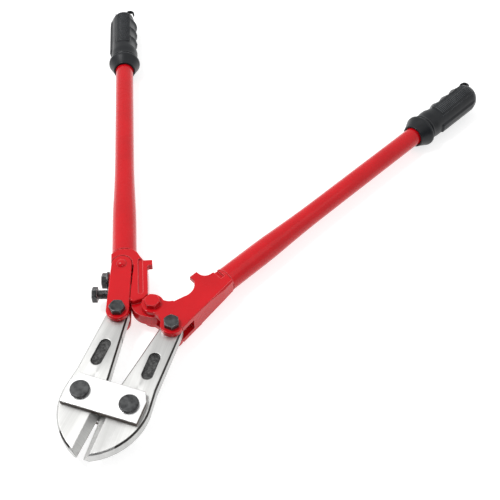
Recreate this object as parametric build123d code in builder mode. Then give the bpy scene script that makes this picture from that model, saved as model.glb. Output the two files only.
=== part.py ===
"""Bolt cutters, nominal 600 mm, with tubular handles and a side-plate (strap) head.

Frame: +Z up, the tool lies flat on z = 0.  The origin is on the axis of the
central pivot, at the underside of its nut.  +Y runs midway between the two
handles, toward the grips; the jaws point toward -Y.  +X is the right handle.
The tool is built in its half-open pose.  All sizes are millimetres.
"""
import os
from math import asin, atan2, cos, degrees, hypot, radians, sin, sqrt

from build123d import *

os.makedirs("parts", exist_ok=True)

# ---------------------------------------------------------------- dimensions
# thickness of the stack, from the middle plane of the tool outwards
jaw_thickness = 12.4
side_gap = 0.15            # free play beside every moving plate
plate_thickness = 5.65     # strap plates, link plates and fork ears
nut_height = 5.0
slot_half = jaw_thickness / 2 + side_gap
stack_half = slot_half + plate_thickness
mid_height = stack_half + nut_height

# pose and linkage
half_open = 25.2           # each handle away from the centre line, degrees
closed_turn = 3.226        # each jaw from this pose to shut, degrees
left_tail = (-31.8, -3.8)  # jaw tail pivots, in their handle's own frame
right_tail = (29.2, -2.9)
strap_spacing = 44.5
jaw_length = 87.2          # strap bolt to tail bolt

# fasteners
bolt_diameter = 8.0
hex_flats = 13.0
hex_head_height = 5.3
strap_bolt_diameter = 10.0
strap_head_diameter = 17.0
strap_head_height = 3.2
strap_nut_flats = 16.0
running_clearance = 0.05   # radial, where a bolt turns in its hole
fixed_clearance = 0.02     # radial, where it doesn't
bolt_end_inset = 0.0       # bolt end above the underside of its nut

# jaws, in the frame of a shut jaw: strap bolt at 0,0 and cutting line along Y
cut_gap = 0.2              # left between the shut edges
blade_length = 40.0
bevel_root = 6.8           # width of the bevel at the strap
bevel_tip = 4.6            # and at the tip
edge_land = 0.5            # half-height of the blunt cutting edge
jaw_back = 16.9            # back of the jaw, outward of the strap bolt
jaw_back_radius = 55.1
shank_inner = -15.6
shank_outer = 15.8
tail_radius = 9.8
tail_play_in = 2.3         # slot of the open pivot, toward the other jaw
tail_play_out = 0.95       # and away from it
tail_play_side = 0.5       # and along the jaw, each way
jaw_edge_chamfer = 1.5
mark_length = 28.0
mark_width = 10.5
mark_depth = 2.0

# strap plates, in the strap's own frame
strap_half_length = 34.6
strap_front = 14.3
strap_back = 16.0

# handles, in their own frame: central pivot at 0,0 and the tube along Y
left_tube_x = -26.5
right_tube_x = 20.7
left_handle_end = 456.5    # central pivot to the end of the grip
right_handle_end = 464.0
left_tube_start = 68.0
right_tube_start = 72.5
tube_radius = 10.0
tube_socket_radius = 11.8
tube_socket_length = 44.0
tube_flare_length = 88.0
tube_wall = 1.6
spigot_length = 34.0
tube_inside_grip = 92.0
tongue_radius = 11.8
ear_radius = 10.4
tail_ear_radius = 10.4
fork_root = 17.0           # bottom of the slot between the ears
body_half = 11.4           # half thickness of the left yoke
draw_in_below = 8.0        # the outer wall's lower corner, cut back at the collar
draw_in_above = 3.6        # and its upper corner
relief_width = 4.6         # cut across the fork at the foot of its collar
relief_reach = 17.0
relief_depth = 2.6
cast_edge = 1.0            # rounding along the edges of both yokes
stop_face = 0.9            # where the two stops meet, beside the centre line
stop_gap = 0.2             # between the stops when the handles are shut
stop_front = 45.2
stop_back = 51.3
stop_thickness = 6.8       # of the arm on the left yoke
hook_thickness = 5.0       # of the hook on the right yoke

# link plates and their adjusters, in the link's own frame:
# tail bolt at 0,0 and the rivet along +Y
link_length = 53.2
link_lean = 4.0            # degrees away from the tube's direction
link_tail_radius = 10.5
link_top_radius = 9.7
rivet_diameter = 6.0
rivet_head_diameter = 10.4
rivet_head_height = 2.6
block_face = -9.2
block_back = 6.4
block_low = 14.0
block_high = 46.9
adjuster_diameter = 8.0
adjuster_high_y = 41.5
adjuster_low_y = 25.2
adjuster_boss = 2.6
adjuster_washer_diameter = 17.0
adjuster_washer_thickness = 1.8
adjuster_head_height = 5.0
adjuster_low_reach = 12.0  # bare shank between the block and the lower head

# grips, along the same axis as the tube
grip_length = 106.0
grip_mouth_radius = 12.6
grip_collar_radius = 17.0
grip_collar_length = 14.0
grip_neck_radius = 14.8
grip_radius = 15.7
grip_end_radius = 12.0
finger_count = 4
finger_pitch = 17.6
finger_radius = 13.0
finger_depth = 3.0


# ---------------------------------------------------------------- placing
def turned(x, y, degrees_ccw):
    """A point swung about the origin of the plan."""
    a = radians(degrees_ccw)
    return x * cos(a) - y * sin(a), x * sin(a) + y * cos(a)


def level(at, turn, height):
    """A horizontal plane at a plan point, a height above the middle plane."""
    return Plane(
        origin=(at[0], at[1], mid_height + height),
        x_dir=(cos(radians(turn)), sin(radians(turn)), 0),
        z_dir=(0, 0, 1),
    )


def upright(at, height):
    """A plane standing on a plan point, for profiles revolved about it."""
    return Plane(origin=(at[0], at[1], mid_height + height), x_dir=(1, 0, 0), z_dir=(0, -1, 0))


def handle_turn(side):
    """The right handle (side 1) leans clockwise, the left (side -1) the other way."""
    return -side * half_open


def handle_level(side, height):
    """Horizontal plane in a handle's own frame, +Y along the handle."""
    return level((0, 0), handle_turn(side), height)


def handle_axis(side, x):
    """The line along a handle, x beside the central pivot."""
    turn = handle_turn(side)
    at = turned(x, 0, turn)
    along = turned(0, 1, turn)
    return Axis((at[0], at[1], mid_height), (along[0], along[1], 0))


tail_left = turned(*left_tail, handle_turn(-1))
tail_right = turned(*right_tail, handle_turn(1))
tail_spacing = hypot(tail_right[0] - tail_left[0], tail_right[1] - tail_left[1])
head_turn = degrees(atan2(tail_right[1] - tail_left[1], tail_right[0] - tail_left[0]))
jaw_lean = degrees(asin((tail_spacing - strap_spacing) / 2 / jaw_length))
head_drop = sqrt(jaw_length**2 - ((tail_spacing - strap_spacing) / 2) ** 2)
strap_at = (
    (tail_left[0] + tail_right[0]) / 2 - turned(0, head_drop, head_turn)[0],
    (tail_left[1] + tail_right[1]) / 2 - turned(0, head_drop, head_turn)[1],
)


def strap_bolt_at(side):
    dx, dy = turned(side * strap_spacing / 2, 0, head_turn)
    return strap_at[0] + dx, strap_at[1] + dy


def strap_level(height):
    return level(strap_at, head_turn, height)


def jaw_level(side, height):
    return level(strap_bolt_at(side), head_turn + side * closed_turn, height)


link_turn = handle_turn(-1) - link_lean


def link_level(height):
    return level(tail_left, link_turn, height)


def link_point(x, y):
    dx, dy = turned(x, y, link_turn)
    return tail_left[0] + dx, tail_left[1] + dy


def across_link(x, y):
    """Plane facing outward along an adjuster, x and y in the link's frame."""
    at = link_point(x, y)
    out = turned(-1, 0, link_turn)
    return Plane(origin=(at[0], at[1], mid_height), x_dir=(0, 0, 1), z_dir=(out[0], out[1], 0))


# ---------------------------------------------------------------- fasteners
def hex_top(at, turn, flats, bottom, height, both_ends=False):
    """A hexagon standing on a plan point, its corners turned off at 30 degrees."""
    drop = flats * 0.077
    with BuildPart() as prism:
        with BuildSketch(level(at, turn, bottom)):
            RegularPolygon(radius=flats / 2, side_count=6, major_radius=False)
        extrude(amount=height)
        with BuildSketch(upright(at, bottom)):
            with BuildLine():
                Polyline(
                    (0, 0),
                    (flats * 0.48 if both_ends else flats * 0.6, 0),
                    (flats * 0.6, drop if both_ends else 0.001),
                    (flats * 0.6, height - drop),
                    (flats * 0.48, height),
                    (0, height),
                    close=True,
                )
            make_face()
        revolve(axis=Axis((at[0], at[1], 0), (0, 0, 1)), mode=Mode.INTERSECT)
    return prism.part


def hex_bolt(at, turn):
    """Hexagon bolt through the whole stack, head up."""
    with BuildPart() as bolt:
        add(hex_top(at, turn, hex_flats, stack_half, hex_head_height))
        with BuildSketch(level(at, turn, bolt_end_inset - mid_height)):
            Circle(bolt_diameter / 2)
        extrude(amount=mid_height - bolt_end_inset + stack_half)
        chamfer(bolt.edges().filter_by(GeomType.CIRCLE).sort_by(Axis.Z)[:1], 0.6)
    return bolt.part


def hex_nut(at, turn, flats, bore):
    """Nut under the stack, resting on the floor."""
    with BuildPart() as nut:
        add(hex_top(at, turn, flats, -mid_height, nut_height, both_ends=True))
        with BuildSketch(level(at, turn, -mid_height)):
            Circle(bore / 2)
        extrude(amount=nut_height, mode=Mode.SUBTRACT)
    return nut.part


def write(part, name):
    part.label = name
    export_step(part, "parts/" + name + ".step")


# ---------------------------------------------------------------- jaws
def circle_tangent(px, py, cx, cy, radius, sign):
    """Where a line from a point touches a circle; sign picks the side."""
    reach = hypot(px - cx, py - cy)
    facing = atan2(py - cy, px - cx)
    spread = sign * radians(90 - degrees(asin(radius / reach)))
    return cx + radius * cos(facing + spread), cy + radius * sin(facing + spread)


def jaw(side):
    """One jaw; side 1 is the right one.  Drawn as it stands when shut."""
    cut_x = -(strap_spacing - cut_gap) / 2
    tail_x, tail_y = turned(0, jaw_length, -(jaw_lean + closed_turn))
    cut_y_top = -(strap_front - 3.5)
    tip_y = cut_y_top - blade_length
    back_x = jaw_back - jaw_back_radius
    arc_low_y = 2.0 - sqrt(jaw_back_radius**2 - (cut_x - back_x) ** 2)
    arc_dx, arc_dy = turned(jaw_back_radius, 0, -35)
    arc_mid = (back_x + arc_dx, 2.0 + arc_dy)
    inner_touch = circle_tangent(shank_inner, 18.0, tail_x, tail_y, tail_radius, -1)
    outer_touch = circle_tangent(shank_outer, 22.0, tail_x, tail_y, tail_radius, 1)
    tail_top = (tail_x + tail_radius * sin(radians(5)), tail_y + tail_radius * cos(radians(5)))
    points = [
        (cut_x, cut_y_top),
        (shank_inner, 18.0),
        inner_touch,
        outer_touch,
        (shank_outer, 22.0),
        (jaw_back, 2.0),
        (cut_x, arc_low_y),
    ]
    points = [(side * x, y) for x, y in points]
    with BuildPart() as body:
        with BuildSketch(jaw_level(side, -jaw_thickness / 2)):
            with BuildLine():
                Polyline(*points[0:3])
                ThreePointArc(points[2], (side * tail_top[0], tail_top[1]), points[3])
                Polyline(*points[3:6])
                ThreePointArc(points[5], (side * arc_mid[0], arc_mid[1]), points[6])
                Line(points[6], points[0])
            make_face()
        extrude(amount=jaw_thickness)
        # every long edge is broken except the cutting line itself
        faces = body.faces().filter_by(Axis.Z)
        middle = jaw_level(side, 0).from_local_coords((side * cut_x, (cut_y_top + arc_low_y) / 2, 0))
        rims = [e for e in faces.edges() if hypot((e @ 0.5).X - middle.X, (e @ 0.5).Y - middle.Y) > 0.5]
        chamfer(rims, jaw_edge_chamfer)
        # bevels down to the cutting edge, from both faces
        for up in (1, -1):
            for y, width in ((cut_y_top + 6.0, bevel_root), (tip_y - 6.0, bevel_tip)):
                at = jaw_level(side, 0).from_local_coords((0, y, 0))
                across = jaw_level(side, 0).x_dir
                along = jaw_level(side, 0).y_dir
                with BuildSketch(Plane(origin=at, x_dir=across, z_dir=-along)):
                    with BuildLine():
                        Polyline(
                            (side * (cut_x - 0.5), up * edge_land),
                            (side * cut_x, up * edge_land),
                            (side * (cut_x + width), up * jaw_thickness / 2),
                            (side * (cut_x + width), up * (jaw_thickness / 2 + 1)),
                            (side * (cut_x - 0.5), up * (jaw_thickness / 2 + 1)),
                            close=True,
                        )
                    make_face()
            loft(mode=Mode.SUBTRACT)
        # pivot holes
        with BuildSketch(jaw_level(side, -jaw_thickness / 2)):
            Circle(strap_bolt_diameter / 2 + running_clearance)
        extrude(amount=jaw_thickness, mode=Mode.SUBTRACT)
        hole = bolt_diameter / 2 + running_clearance
        with BuildSketch(jaw_level(side, -jaw_thickness / 2)):
            with Locations((side * tail_x, tail_y)):
                Circle(hole)
            if side == 1:
                with Locations((tail_x - (tail_play_in - tail_play_out) / 2, tail_y)):
                    SlotCenterToCenter(tail_play_in + tail_play_out, 2 * (hole + tail_play_side))
        extrude(amount=jaw_thickness, mode=Mode.SUBTRACT)
        # sunk panel on each face of the shank
        for top in (jaw_thickness / 2 - mark_depth, -jaw_thickness / 2):
            with BuildSketch(jaw_level(side, top)):
                with Locations((side * 3.8, jaw_length / 2)):
                    SlotOverall(mark_length, mark_width, rotation=90 - side * 2)
            extrude(amount=mark_depth, mode=Mode.SUBTRACT)
    return body.part


write(jaw(-1), "jaw_left")
write(jaw(1), "jaw_right")


# ---------------------------------------------------------------- strap
def strap_plate(bottom):
    """Side plate that ties the two jaws together at their bolts."""
    with BuildPart() as plate:
        with BuildSketch(strap_level(bottom)):
            with BuildLine():
                Polyline(
                    (-strap_half_length, -strap_front),
                    (strap_half_length, -strap_front),
                    (strap_half_length, strap_back - 9.0),
                    (strap_half_length - 4.0, strap_back),
                    (-strap_half_length + 4.0, strap_back),
                    (-strap_half_length, strap_back - 9.0),
                    close=True,
                )
            make_face()
        extrude(amount=plate_thickness)
        chamfer(plate.faces().filter_by(Axis.Z).edges(), 0.6)
        with BuildSketch(strap_level(bottom)):
            with Locations((-strap_spacing / 2, 0), (strap_spacing / 2, 0)):
                Circle(strap_bolt_diameter / 2 + fixed_clearance)
        extrude(amount=plate_thickness, mode=Mode.SUBTRACT)
    return plate.part


def strap_bolt(at):
    """Flat round head on a plain shank."""
    with BuildPart() as bolt:
        with BuildSketch(level(at, 0, stack_half)):
            Circle(strap_head_diameter / 2)
        extrude(amount=strap_head_height)
        fillet(bolt.edges().sort_by(Axis.Z)[-1:], 0.9)
        with BuildSketch(level(at, 0, bolt_end_inset - mid_height)):
            Circle(strap_bolt_diameter / 2)
        extrude(amount=mid_height - bolt_end_inset + stack_half)
    return bolt.part


write(strap_plate(slot_half), "strap_upper")
write(strap_plate(-stack_half), "strap_lower")
for side, word in ((-1, "left"), (1, "right")):
    write(strap_bolt(strap_bolt_at(side)), "strap_bolt_" + word)
    strap_nut_bore = strap_bolt_diameter + 2 * fixed_clearance
    nut = hex_nut(strap_bolt_at(side), head_turn, strap_nut_flats, strap_nut_bore)
    write(nut, "strap_nut_" + word)


# ---------------------------------------------------------------- pivot and tail bolts
nut_bore = bolt_diameter + 2 * fixed_clearance
for name, at, turn in (
    ("pivot", (0, 0), 12.0),
    ("link", tail_left, 20.0),
    ("tail", tail_right, -4.0),
):
    write(hex_bolt(at, turn), name + "_bolt")
    write(hex_nut(at, turn + 9.0, hex_flats, nut_bore), name + "_nut")


# ---------------------------------------------------------------- right yoke: the fork
spigot_radius = tube_socket_radius - tube_wall - fixed_clearance
socket_step = tube_socket_radius - 0.6
shank_hole = bolt_diameter / 2 + fixed_clearance


def fork_outline(hooked):
    """The fork in plan, with or without its hooked stop; drawn in a BuildLine."""
    Polyline((0, 0), (3.2, 9.6))
    ThreePointArc((3.2, 9.6), (7.2, 11.6), (10.2, 15.2))
    Polyline((10.2, 15.2), (11.6, 15.9), (13.9, 26.0))
    if hooked:
        ThreePointArc((13.9, 26.0), (13.6, 37.6), (6.6, 44.6))
        Polyline(
            (6.6, 44.6),
            (stop_face, stop_front - 0.3),
            (stop_face, stop_back + 2.1),
            (4.6, stop_back + 2.3),
        )
        ThreePointArc((4.6, stop_back + 2.3), (9.3, 55.8), (11.8, 61.6))
    else:
        Line((13.9, 26.0), (11.8, 61.6))
    Polyline(
        (11.8, 61.6),
        (13.4, right_tube_start - 1.5),
        (32.2, right_tube_start - 1.5),
        (33.8, 58.0),
    )
    ThreePointArc((33.8, 58.0), (35.4, 34.0), (right_tail[0] + 10.1, 2.0))
    Polyline((right_tail[0] + 10.1, 2.0), right_tail, (20.2, -7.6))
    ThreePointArc((20.2, -7.6), (14.3, -5.8), (7.0, -6.9))
    Line((7.0, -6.9), (0, 0))


hook_bottom = stack_half - hook_thickness
with BuildPart() as yoke_right:
    for hooked, bottom, height in (
        (False, -stack_half, stack_half + hook_bottom),
        (True, hook_bottom, hook_thickness),
    ):
        with BuildSketch(handle_level(1, bottom)):
            with BuildLine():
                fork_outline(hooked)
            make_face()
            Circle(ear_radius)
            with Locations(right_tail):
                Circle(tail_ear_radius)
        extrude(amount=height)
    flats = yoke_right.faces().filter_by(Axis.Z).sort_by(Axis.Z)
    fillet(flats[:1].edges() + flats[-1:].edges(), cast_edge)
    # the outer wall is drawn in, toward the collar, to meet the round of the tube
    collar_side = right_tube_x + tube_socket_radius + 1.2
    for up, near, far in ((-1, draw_in_below, 1.4), (1, draw_in_above, 0.8)):
        at_collar = (collar_side, right_tube_start, near)
        at_root = (collar_side + 2.4, fork_root + 10.0, far)
        for x, y, cut in (at_collar, at_root):
            at = handle_level(1, 0).from_local_coords((x, y, 0))
            across = handle_level(1, 0).x_dir
            along = handle_level(1, 0).y_dir
            with BuildSketch(Plane(origin=at, x_dir=across, z_dir=-along)):
                with BuildLine():
                    Polyline(
                        (6.0, up * (stack_half + 1.0)),
                        (-cut, up * (stack_half + 1.0)),
                        (0, up * (stack_half - 1.2 * cut)),
                        (6.0, up * (stack_half - 1.2 * cut)),
                        close=True,
                    )
                make_face()
        loft(mode=Mode.SUBTRACT)
    # round collar that the tube butts against, and the spigot inside the tube
    with BuildSketch(handle_level(1, 0)):
        with BuildLine():
            Polyline(
                (right_tube_x, fork_root + 25),
                (right_tube_x + 8.0, fork_root + 25),
                (right_tube_x + socket_step, right_tube_start - 9.0),
                (right_tube_x + socket_step, right_tube_start),
                (right_tube_x + spigot_radius, right_tube_start),
                (right_tube_x + spigot_radius, right_tube_start + spigot_length),
                (right_tube_x, right_tube_start + spigot_length),
                close=True,
            )
        make_face()
    revolve(axis=handle_axis(1, right_tube_x))
    # relief across the foot of the collar, on both faces
    for bottom in (stack_half - relief_depth, -stack_half):
        with BuildSketch(handle_level(1, bottom)):
            with Locations((relief_reach / 2 + 6.0, right_tube_start - 6.2)):
                Rectangle(relief_reach, relief_width)
        extrude(amount=relief_depth, mode=Mode.SUBTRACT)
    # slot for the other handle's tongue and for the jaw
    with BuildSketch(handle_level(1, -slot_half)):
        with Locations((12.0, fork_root - 30.0)):
            Rectangle(80.0, 60.0)
    extrude(amount=2 * slot_half, mode=Mode.SUBTRACT)
    with BuildSketch(handle_level(1, -stack_half)):
        with Locations((0, 0), right_tail):
            Circle(shank_hole)
    extrude(amount=2 * stack_half, mode=Mode.SUBTRACT)
write(yoke_right.part, "yoke_right")


# ---------------------------------------------------------------- left yoke: the tongue
link_top_x = left_tail[0] + turned(0, link_length, -link_lean)[0]
link_top_y = left_tail[1] + turned(0, link_length, -link_lean)[1]
wall_low = (left_tail[0] + 11.3, 6.0)
wall_high = (link_top_x + 11.2, 47.0)
with BuildPart() as yoke_left:
    # full-thickness body beside the link plates, with the stop arm's root
    with BuildSketch(handle_level(-1, -body_half)):
        with BuildLine():
            Polyline((-9.0, 6.5), (-16.0, 4.6))
            ThreePointArc((-16.0, 4.6), (wall_low[0] + 0.9, 5.2), (wall_low[0], wall_low[1] + 3.0))
            Polyline(
                (wall_low[0], wall_low[1] + 3.0),
                wall_high,
                (link_top_x, link_top_y),
                (left_tube_x - tube_socket_radius + 0.3, 48.0),
                (left_tube_x - tube_socket_radius + 0.3, left_tube_start - 6.0),
                (left_tube_x - 6.0, left_tube_start - 1.0),
                (left_tube_x + 8.5, left_tube_start - 1.0),
                (-13.6, 63.0),
                (-10.8, 57.5),
                (-7.4, 52.0),
                (-3.9, 48.0),
                (-3.9, 12.0),
                (-9.0, 6.5),
            )
        make_face()
    extrude(amount=2 * body_half)
    fillet(yoke_left.faces().filter_by(Axis.Z).edges(), cast_edge)
    # room for the ears of the other yoke
    for bottom in (slot_half - 2 * side_gap, -body_half - 1.0):
        with BuildSketch(handle_level(-1, bottom)):
            Circle(ear_radius + 0.7)
        extrude(amount=body_half + 1.0 - slot_half + 2 * side_gap, mode=Mode.SUBTRACT)
    # beds for the link plates
    for bottom in (slot_half - side_gap, -body_half - 1.0):
        with BuildSketch(link_level(bottom)):
            with BuildLine():
                Polyline(
                    (-link_top_radius - 4.0, -10.0),
                    (link_tail_radius + 0.5, -10.0),
                    (link_top_radius + 0.5, link_length),
                )
                ThreePointArc(
                    (link_top_radius + 0.5, link_length),
                    (0, link_length + link_top_radius + 0.5),
                    (-link_top_radius - 0.5, link_length),
                )
                Polyline(
                    (-link_top_radius - 0.5, link_length),
                    (-link_top_radius - 4.0, link_length - 3.0),
                    (-link_top_radius - 4.0, -10.0),
                )
            make_face()
        extrude(amount=body_half + 1.0 - slot_half + side_gap, mode=Mode.SUBTRACT)
    # long groove along both faces
    for bottom in (body_half - 1.6, -body_half):
        with BuildSketch(handle_level(-1, bottom)):
            with Locations((-10.6, 33.0)):
                SlotOverall(42.0, 4.4, rotation=90)
        extrude(amount=1.6, mode=Mode.SUBTRACT)
    # tongue between the ears, and the web between the link plates
    with BuildSketch(handle_level(-1, -jaw_thickness / 2)):
        with BuildLine():
            Line((-6.0, 20.0), (-19.2, 20.0))
            Line((-19.2, 20.0), (-19.6, 3.0))
            ThreePointArc((-19.6, 3.0), (-15.4, -5.2), (-5.0, -10.5))
            Polyline((-5.0, -10.5), (0, 0), (-3.9, 12.0), (-6.0, 20.0))
        make_face()
        Circle(tongue_radius)
    extrude(amount=jaw_thickness)
    with BuildSketch(link_level(-slot_half + side_gap)):
        with Locations((0, link_length)):
            Circle(rivet_diameter / 2 + 2.6)
        with Locations((0.3, link_length + 5.0)):
            Rectangle(2 * link_top_radius - 1.0, 10.0)
    extrude(amount=2 * (slot_half - side_gap))
    # stop arm, flush with the upper face
    with BuildSketch(handle_level(-1, body_half - stop_thickness)):
        with BuildLine():
            Line((-8.0, stop_back), (stop_face - stop_gap, stop_back))
            Line((stop_face - stop_gap, stop_back), (stop_face - stop_gap, stop_front))
            Line((stop_face - stop_gap, stop_front), (-2.2, stop_front))
            ThreePointArc((-2.2, stop_front), (-3.4, stop_front - 0.5), (-3.9, stop_front - 1.7))
            Polyline((-3.9, stop_front - 1.7), (-8.0, stop_front - 1.7), (-8.0, stop_back))
        make_face()
    extrude(amount=stop_thickness)
    # round collar and the spigot inside the tube
    with BuildSketch(handle_level(-1, 0)):
        with BuildLine():
            Polyline(
                (left_tube_x, left_tube_start - 6.0),
                (left_tube_x + 8.0, left_tube_start - 6.0),
                (left_tube_x + socket_step, left_tube_start - 3.5),
                (left_tube_x + socket_step, left_tube_start),
                (left_tube_x + spigot_radius, left_tube_start),
                (left_tube_x + spigot_radius, left_tube_start + spigot_length),
                (left_tube_x, left_tube_start + spigot_length),
                close=True,
            )
        make_face()
    revolve(axis=handle_axis(-1, left_tube_x))
    # pivot bore, rivet hole and the tapped hole for the upper adjuster
    with BuildSketch(handle_level(-1, -body_half)):
        Circle(bolt_diameter / 2 + running_clearance)
    extrude(amount=2 * body_half, mode=Mode.SUBTRACT)
    with BuildSketch(link_level(-body_half)):
        with Locations((0, link_length)):
            Circle(rivet_diameter / 2 + fixed_clearance)
    extrude(amount=2 * body_half, mode=Mode.SUBTRACT)
    with BuildSketch(across_link(block_back, adjuster_high_y)):
        Circle(adjuster_diameter / 2 + running_clearance)
    extrude(amount=-16.0, mode=Mode.SUBTRACT)
write(yoke_left.part, "yoke_left")


# ---------------------------------------------------------------- link plates, rivet and block
def link_plate(bottom):
    with BuildPart() as plate:
        with BuildSketch(link_level(bottom)):
            Circle(link_tail_radius)
            with Locations((0, link_length)):
                Circle(link_top_radius)
            make_hull()
        extrude(amount=plate_thickness)
        fillet(plate.faces().filter_by(Axis.Z).edges(), 1.3)
        with BuildSketch(link_level(bottom)):
            Circle(shank_hole)
            with Locations((0, link_length)):
                Circle(rivet_diameter / 2 + fixed_clearance)
        extrude(amount=plate_thickness, mode=Mode.SUBTRACT)
    return plate.part


write(link_plate(slot_half), "link_plate_upper")
write(link_plate(-stack_half), "link_plate_lower")

rivet_at = link_point(0, link_length)
with BuildPart() as link_rivet:
    with BuildSketch(level(rivet_at, 0, -stack_half)):
        Circle(rivet_diameter / 2)
    extrude(amount=2 * stack_half)
    with BuildSketch(upright(rivet_at, 0)):
        for up in (1, -1):
            with BuildLine():
                base = up * stack_half
                crown = up * (stack_half + rivet_head_height)
                bulge = (rivet_head_diameter * 0.3, up * (stack_half + rivet_head_height * 0.75))
                ThreePointArc((0, crown), bulge, (rivet_head_diameter / 2, base))
                Polyline((rivet_head_diameter / 2, base), (0, base), (0, crown))
            make_face()
    revolve(axis=Axis((rivet_at[0], rivet_at[1], 0), (0, 0, 1)))
write(link_rivet.part, "link_rivet")


with BuildPart() as link_block:
    with BuildSketch(link_level(-slot_half)):
        with BuildLine():
            Polyline(
                (block_face, block_low),
                (block_back, block_low),
                (block_back, block_high),
                (block_face, block_high),
                close=True,
            )
        make_face()
    extrude(amount=2 * slot_half)
    chamfer(link_block.edges().filter_by(Axis.Z), 1.0)
    with BuildSketch(across_link(block_face + 1.0, adjuster_high_y)):
        Circle(slot_half - 0.1)
    extrude(amount=adjuster_boss + 1.0)
    for y, play in ((adjuster_high_y, 0.25), (adjuster_low_y, running_clearance)):
        with BuildSketch(across_link(block_back + 1.0, y)):
            Circle(adjuster_diameter / 2 + play)
        extrude(amount=30.0, mode=Mode.SUBTRACT)
    # clearance for the foot of the yoke's web round the rivet
    with BuildSketch(link_level(-slot_half)):
        with Locations((0, link_length)):
            Circle(rivet_diameter / 2 + 2.6 + 0.4)
    extrude(amount=2 * slot_half, mode=Mode.SUBTRACT)
write(link_block.part, "link_block")


def adjuster(y, head_x, tip_x):
    """Hexagon set screw lying across the link, head outward."""
    tip = across_link(tip_x, y)
    seat = across_link(head_x, y)
    with BuildPart() as screw:
        with BuildSketch(tip):
            Circle(adjuster_diameter / 2)
        extrude(amount=tip_x - head_x)
        chamfer(screw.edges().sort_by(Axis(tip.origin, tip.z_dir))[:1], 0.7)
        with BuildSketch(seat):
            RegularPolygon(radius=hex_flats / 2, side_count=6, major_radius=False)
        extrude(amount=adjuster_head_height)
        chamfer(screw.faces().sort_by(Axis(seat.origin, seat.z_dir))[-1:].edges(), 0.5)
    return screw.part


high_seat = block_face - adjuster_boss
wall_x = link_tail_radius + 1.6
write(adjuster(adjuster_high_y, high_seat - adjuster_washer_thickness, wall_x + 4.0), "adjuster_upper")
low_screw = adjuster(adjuster_low_y, block_face - adjuster_low_reach, link_tail_radius - 0.1)
write(low_screw, "adjuster_lower")

with BuildPart() as adjuster_washer:
    with BuildSketch(across_link(high_seat, adjuster_high_y)):
        Circle(adjuster_washer_diameter / 2)
        Circle(adjuster_diameter / 2 + 0.2, mode=Mode.SUBTRACT)
    extrude(amount=adjuster_washer_thickness)
write(adjuster_washer.part, "adjuster_washer")


# ---------------------------------------------------------------- tubes and grips
def tube(side, x, start, end):
    """Handle tube, opened out where it takes the yoke's spigot."""
    top = end - grip_length + tube_inside_grip
    neck_low = start + tube_socket_length
    neck_high = neck_low + tube_flare_length

    def neck(radius_low, radius_high):
        """The smooth taper between socket and tube."""
        Spline(
            (x + radius_low, neck_low),
            (x + (radius_low + radius_high) / 2, neck_low + tube_flare_length * 0.42),
            (x + radius_high, neck_high),
            tangents=((0, 1), (0, 1)),
        )

    with BuildPart() as pipe:
        with BuildSketch(handle_level(side, 0)):
            with BuildLine():
                for wall in (0.0, tube_wall):
                    socket = x + tube_socket_radius - wall
                    Line((socket, start), (socket, neck_low))
                    neck(tube_socket_radius - wall, tube_radius - wall)
                    Line((x + tube_radius - wall, neck_high), (x + tube_radius - wall, top))
                Line((x + tube_socket_radius, start), (x + tube_socket_radius - tube_wall, start))
                Line((x + tube_radius, top), (x + tube_radius - tube_wall, top))
            make_face()
        revolve(axis=handle_axis(side, x))
    return pipe.part


def grip(side, x, end):
    """Moulded grip with a flared hand guard and finger hollows on the inner side."""
    low = end - grip_length
    with BuildPart() as sleeve:
        with BuildSketch(handle_level(side, 0)):
            with BuildLine():
                Polyline(
                    (x, low + tube_inside_grip),
                    (x + tube_radius + fixed_clearance, low + tube_inside_grip),
                    (x + tube_radius + fixed_clearance, low),
                    (x + grip_mouth_radius, low),
                )
                Spline(
                    (x + grip_mouth_radius, low),
                    (x + grip_collar_radius - 1.2, low + 8.0),
                    (x + grip_collar_radius, low + grip_collar_length),
                    tangents=((0.7, 1), (0, 1)),
                )
                Polyline(
                    (x + grip_collar_radius, low + grip_collar_length),
                    (x + grip_collar_radius - 0.5, low + grip_collar_length + 1.4),
                    (x + grip_neck_radius, low + grip_collar_length + 3.2),
                    (x + grip_radius, low + grip_collar_length + 14.0),
                    (x + grip_radius, end - grip_end_radius),
                )
                ThreePointArc(
                    (x + grip_radius, end - grip_end_radius),
                    (x + grip_radius - grip_end_radius * 0.293, end - grip_end_radius * 0.293),
                    (x + grip_radius - grip_end_radius, end),
                )
                Polyline(
                    (x + grip_radius - grip_end_radius, end),
                    (x, end),
                    (x, low + tube_inside_grip),
                )
            make_face()
        revolve(axis=handle_axis(side, x))
        with BuildSketch(handle_level(side, -grip_collar_radius)):
            for i in range(finger_count):
                across = x - side * (grip_radius + finger_radius - finger_depth)
                with Locations((across, end - 11.0 - i * finger_pitch)):
                    Circle(finger_radius)
        extrude(amount=2 * grip_collar_radius, mode=Mode.SUBTRACT)
    return sleeve.part


for side, x, start, end, word in (
    (-1, left_tube_x, left_tube_start, left_handle_end, "left"),
    (1, right_tube_x, right_tube_start, right_handle_end, "right"),
):
    write(tube(side, x, start, end), "tube_" + word)
    write(grip(side, x, end), "grip_" + word)
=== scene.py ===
# %% [markdown]
# # Bolt cutters on a bench
#
# A pair of bolt cutters is a compound lever: two long tubes work a cast yoke
# each, the yokes push the tails of two short steel jaws, and side plates tie
# the jaws together.  The steel and the castings come from the CAD frame as
# they are.  This script gives every one of them its finish, models the soft
# grips and the screw thread in full, and lights the tool as a studio would.

# %% Load the frame
import math

import bmesh
import bpy
from mathutils import Matrix, Vector


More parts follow.
